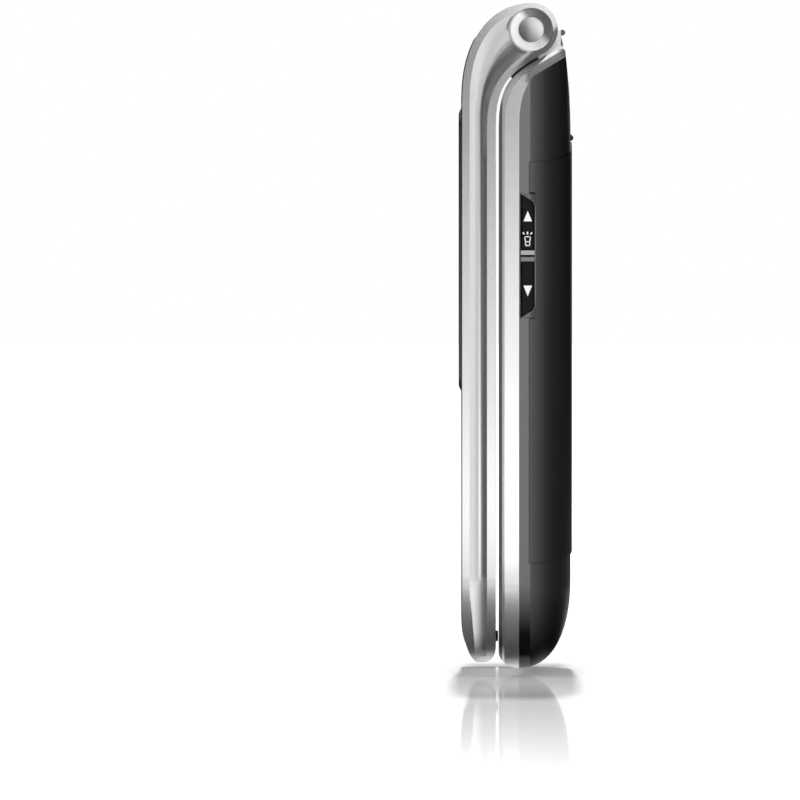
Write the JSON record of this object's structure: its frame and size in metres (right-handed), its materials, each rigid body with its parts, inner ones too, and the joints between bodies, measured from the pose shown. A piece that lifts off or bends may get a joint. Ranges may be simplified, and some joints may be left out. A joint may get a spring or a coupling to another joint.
{
  "type": "flip phone",
  "caption": "Closed clamshell mobile phone with curved hinge arms, black back, number keypad under the lid, volume and torch keys on one side and a headphone socket on the other.",
  "frame": {"origin": "under the middle of the closed phone, at its lowest point", "axes": "+Z along the phone's length towards the hinge, -Y out of the front of the closed lid, +X towards the side with the volume keys"},
  "size_m": [0.0566, 0.0196, 0.1132],
  "materials": {
    "silver_shell": "silver lacquered moulding, satin-bright",
    "black_gloss": "piano-black moulding",
    "black_window": "smoked acrylic window",
    "display_glass": "display module",
    "board": "printed circuit board",
    "steel_part": "plain steel",
    "tin_plate": "tin-plated sheet",
    "bright_chrome": "bright plated trim",
    "bumper_rubber": "soft black rubber",
    "keypad_rubber": "grey silicone",
    "battery_wrap": "plain dark wrap, no print",
    "gold_contact": "gold flash",
    "dark_part": "black moulding",
    "lamp_lens": "clear lens over a white lamp",
    "ring_grey": "grey moulded ring",
    "key_black": "black key cap"
  },
  "bodies": {
    "base": {"front_shell": "silver_shell", "back_shell": "black_gloss", "key_plate": "black_gloss", "key_mat": "keypad_rubber", "main_board": "board", "shield_can": "tin_plate", "battery": "battery_wrap", "battery_contacts": "gold_contact", "card_holder": "tin_plate", "loudspeaker": "steel_part", "camera_module": "dark_part", "camera_ring": "bright_chrome", "torch_lamp": "lamp_lens", "microphone": "gold_contact", "vibration_motor": "steel_part", "headphone_socket": "dark_part", "socket_ring": "ring_grey", "usb_socket": "tin_plate", "hinge_barrel": "steel_part", "hinge_spring": "steel_part", "rest_studs": "bumper_rubber", "shell_screws": "steel_part", "side_key_frame": "black_gloss", "side_key_bars": "bright_chrome"},
    "lid": {"lid_shell": "silver_shell", "lid_front_panel": "black_gloss", "outer_window": "black_window", "outer_display": "display_glass", "lid_inner_frame": "black_gloss", "main_window": "black_window", "main_display": "display_glass", "lid_board": "board", "earpiece": "steel_part", "lid_bumpers": "bumper_rubber", "hinge_rings": "bright_chrome", "hinge_caps": "bright_chrome", "hinge_follower": "steel_part", "hinge_pin": "steel_part"},
    "battery_door": {"battery_door": "black_gloss"},
    "key_1": {"key_1": "key_black"},
    "key_2": {"key_2": "key_black"},
    "key_3": {"key_3": "key_black"},
    "key_4": {"key_4": "key_black"},
    "key_5": {"key_5": "key_black"},
    "key_6": {"key_6": "key_black"},
    "key_7": {"key_7": "key_black"},
    "key_8": {"key_8": "key_black"},
    "key_9": {"key_9": "key_black"},
    "key_star": {"key_star": "key_black"},
    "key_0": {"key_0": "key_black"},
    "key_hash": {"key_hash": "key_black"},
    "soft_key_left": {"soft_key_left": "key_black"},
    "soft_key_right": {"soft_key_right": "key_black"},
    "call_key": {"call_key": "key_black"},
    "end_key": {"end_key": "key_black"},
    "nav_ring": {"nav_ring": "silver_shell"},
    "ok_key": {"ok_key": "key_black"},
    "side_key_up": {"side_key_up": "key_black"},
    "side_key_down": {"side_key_down": "key_black"}
  },
  "joints": [
    {"name": "lid_hinge", "type": "hinge", "parent": "base", "child": "lid", "pos_m": [0, 0.00256, 0.1087], "axis": [-1, 0, 0], "range_deg": [0, 160]},
    {"name": "battery_door_lift", "type": "slide", "parent": "base", "child": "battery_door", "axis": [0, 1, 0], "range_m": [0, 0.015]},
    {"name": "key_1_press", "type": "slide", "parent": "base", "child": "key_1", "axis": [0, 1, 0], "range_m": [0, 0.0003], "stiffness_N_per_m": 2000},
    {"name": "key_2_press", "type": "slide", "parent": "base", "child": "key_2", "axis": [0, 1, 0], "range_m": [0, 0.0003], "stiffness_N_per_m": 2000},
    {"name": "key_3_press", "type": "slide", "parent": "base", "child": "key_3", "axis": [0, 1, 0], "range_m": [0, 0.0003], "stiffness_N_per_m": 2000},
    {"name": "key_4_press", "type": "slide", "parent": "base", "child": "key_4", "axis": [0, 1, 0], "range_m": [0, 0.0003], "stiffness_N_per_m": 2000},
    {"name": "key_5_press", "type": "slide", "parent": "base", "child": "key_5", "axis": [0, 1, 0], "range_m": [0, 0.0003], "stiffness_N_per_m": 2000},
    {"name": "key_6_press", "type": "slide", "parent": "base", "child": "key_6", "axis": [0, 1, 0], "range_m": [0, 0.0003], "stiffness_N_per_m": 2000},
    {"name": "key_7_press", "type": "slide", "parent": "base", "child": "key_7", "axis": [0, 1, 0], "range_m": [0, 0.0003], "stiffness_N_per_m": 2000},
    {"name": "key_8_press", "type": "slide", "parent": "base", "child": "key_8", "axis": [0, 1, 0], "range_m": [0, 0.0003], "stiffness_N_per_m": 2000},
    {"name": "key_9_press", "type": "slide", "parent": "base", "child": "key_9", "axis": [0, 1, 0], "range_m": [0, 0.0003], "stiffness_N_per_m": 2000},
    {"name": "key_star_press", "type": "slide", "parent": "base", "child": "key_star", "axis": [0, 1, 0], "range_m": [0, 0.0003], "stiffness_N_per_m": 2000},
    {"name": "key_0_press", "type": "slide", "parent": "base", "child": "key_0", "axis": [0, 1, 0], "range_m": [0, 0.0003], "stiffness_N_per_m": 2000},
    {"name": "key_hash_press", "type": "slide", "parent": "base", "child": "key_hash", "axis": [0, 1, 0], "range_m": [0, 0.0003], "stiffness_N_per_m": 2000},
    {"name": "soft_key_left_press", "type": "slide", "parent": "base", "child": "soft_key_left", "axis": [0, 1, 0], "range_m": [0, 0.0003], "stiffness_N_per_m": 2000},
    {"name": "soft_key_right_press", "type": "slide", "parent": "base", "child": "soft_key_right", "axis": [0, 1, 0], "range_m": [0, 0.0003], "stiffness_N_per_m": 2000},
    {"name": "call_key_press", "type": "slide", "parent": "base", "child": "call_key", "axis": [0, 1, 0], "range_m": [0, 0.0003], "stiffness_N_per_m": 2000},
    {"name": "end_key_press", "type": "slide", "parent": "base", "child": "end_key", "axis": [0, 1, 0], "range_m": [0, 0.0003], "stiffness_N_per_m": 2000},
    {"name": "nav_ring_press", "type": "slide", "parent": "base", "child": "nav_ring", "axis": [0, 1, 0], "range_m": [0, 0.0003], "stiffness_N_per_m": 2000},
    {"name": "ok_key_press", "type": "slide", "parent": "base", "child": "ok_key", "axis": [0, 1, 0], "range_m": [0, 0.0003], "stiffness_N_per_m": 2000},
    {"name": "side_key_up_press", "type": "slide", "parent": "base", "child": "side_key_up", "axis": [-1, 0, 0], "range_m": [0, 0.00025], "stiffness_N_per_m": 1500},
    {"name": "side_key_down_press", "type": "slide", "parent": "base", "child": "side_key_down", "axis": [-1, 0, 0], "range_m": [0, 0.00025], "stiffness_N_per_m": 1500}
  ]
}
